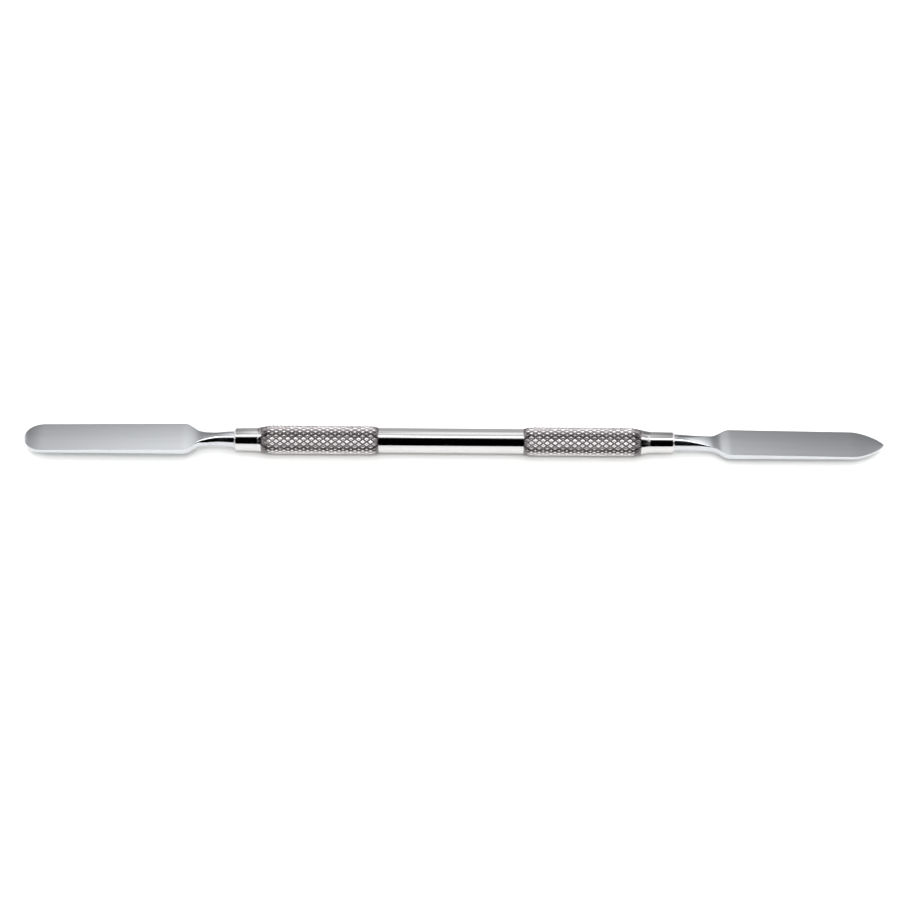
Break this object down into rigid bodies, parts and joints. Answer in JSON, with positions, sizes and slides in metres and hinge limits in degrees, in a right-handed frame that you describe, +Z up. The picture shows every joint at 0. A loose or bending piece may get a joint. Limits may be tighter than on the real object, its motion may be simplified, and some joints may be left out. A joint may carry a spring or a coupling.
{
  "type": "double-ended laboratory spatula",
  "caption": "Double-ended steel spatula for powders and pastes, with a knurled round handle, a round-ended blade and a spear-pointed blade.",
  "frame": {"origin": "on the surface that the spatula lies on, under the middle of its length", "axes": "+X along the handle from the round-ended blade to the pointed one, +Z up"},
  "size_m": [0.2064, 0.0086, 0.0068],
  "materials": {
    "polished_steel": "polished",
    "satin_steel": "satin"
  },
  "bodies": {
    "root": {"handle": "polished_steel", "rounded_blade": "satin_steel", "pointed_blade": "satin_steel"}
  },
  "joints": []
}
